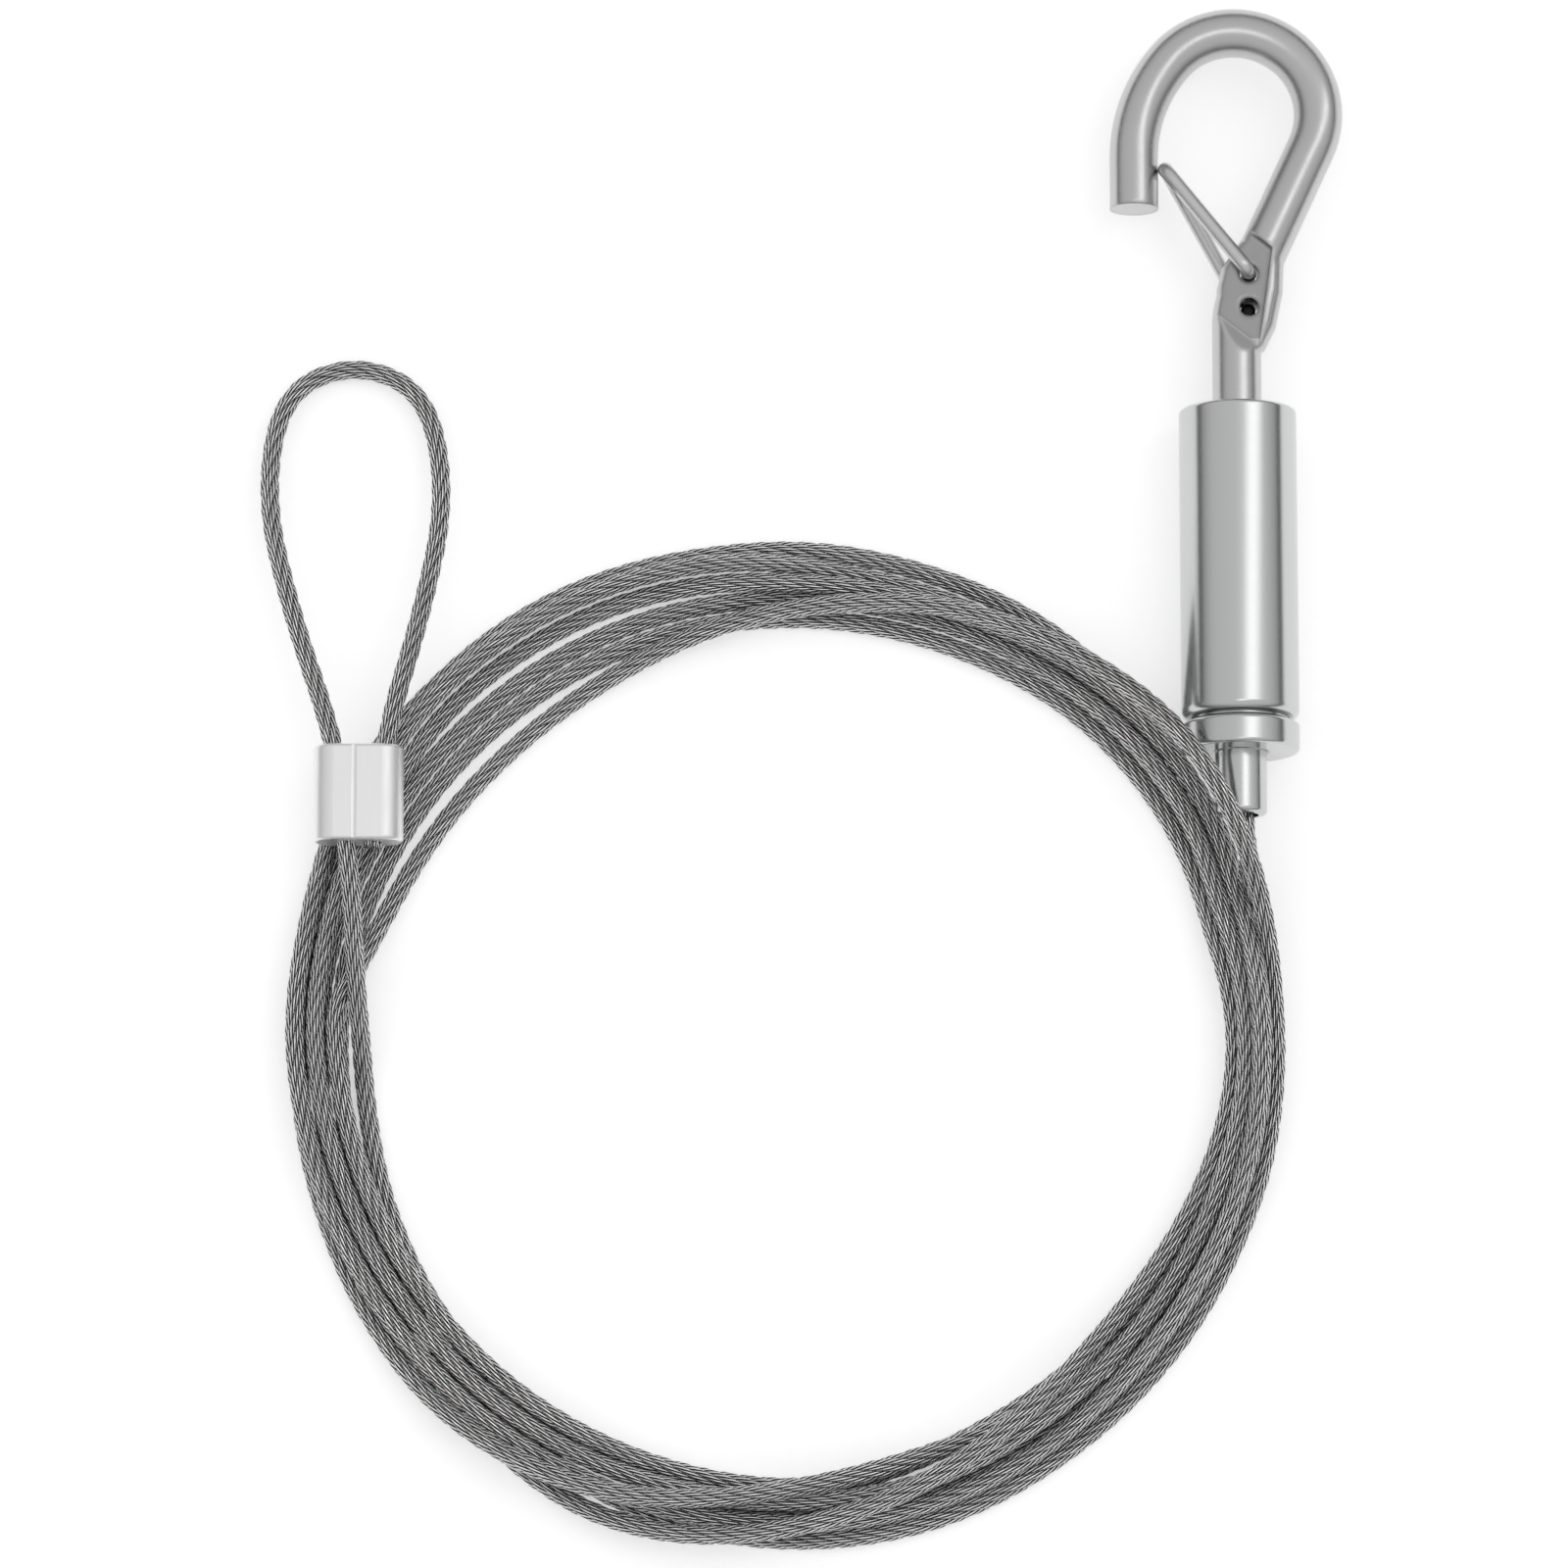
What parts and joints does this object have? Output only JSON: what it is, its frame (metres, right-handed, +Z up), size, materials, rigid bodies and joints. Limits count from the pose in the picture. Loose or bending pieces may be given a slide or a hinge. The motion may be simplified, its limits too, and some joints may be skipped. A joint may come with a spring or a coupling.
{
  "type": "wire rope sling",
  "caption": "coiled thin steel wire rope with a swaged soft eye at one end and a cylindrical adjustable rope gripper with a swivel snap hook at the other",
  "frame": {"origin": "on the supporting surface, under the middle of the bounding box of the gripper and hook", "axes": "+Z up from the surface; +Y along the gripper from the rope end to the hook; the coil of rope lies towards -X and -Y"},
  "size_m": [0.1112, 0.1588, 0.0123],
  "materials": {
    "nickel_plate": "satin",
    "hard_steel": "satin",
    "ball_steel": "polished",
    "spring_steel": "satin",
    "brass": "satin",
    "aluminium": "satin",
    "rope_steel": "satin"
  },
  "bodies": {
    "sling": {"barrel": "nickel_plate", "end_plug": "nickel_plate", "cone_sleeve": "hard_steel", "spring_seat": "hard_steel", "thrust_washer": "brass", "release_spring": "spring_steel", "ferrule": "aluminium", "rope_inlet": "rope_steel", "rope_lead": "rope_steel", "rope_coil": "rope_steel", "rope_ferrule_lead": "rope_steel", "rope_eye": "rope_steel"},
    "release": {"release_nozzle": "nickel_plate", "ball_cage": "brass", "ball_1": "ball_steel", "ball_2": "ball_steel", "ball_3": "ball_steel"},
    "hook": {"hook": "nickel_plate", "retaining_collar": "hard_steel"},
    "gate": {"gate": "spring_steel", "gate_rear_leg": "spring_steel"}
  },
  "joints": [
    {"name": "release_push", "type": "slide", "parent": "sling", "child": "release", "axis": [0, 1, 0], "range_m": [0, 0.002], "stiffness_N_per_m": 600, "springref_m": -0.001, "deforming": ["release_spring"]},
    {"name": "hook_swivel", "type": "hinge", "parent": "sling", "child": "hook", "pos_m": [0.00087, 0, 0.006], "axis": [0, 1, 0], "continuous": true},
    {"name": "gate_pivot", "type": "hinge", "parent": "hook", "child": "gate", "pos_m": [0.00212, 0.01385, 0.006], "axis": [0, 0, -1], "range_deg": [0, 34], "stiffness_Nm_per_rad": 0.02, "springref_deg": -20.05, "deforming": ["gate_rear_leg"]}
  ]
}
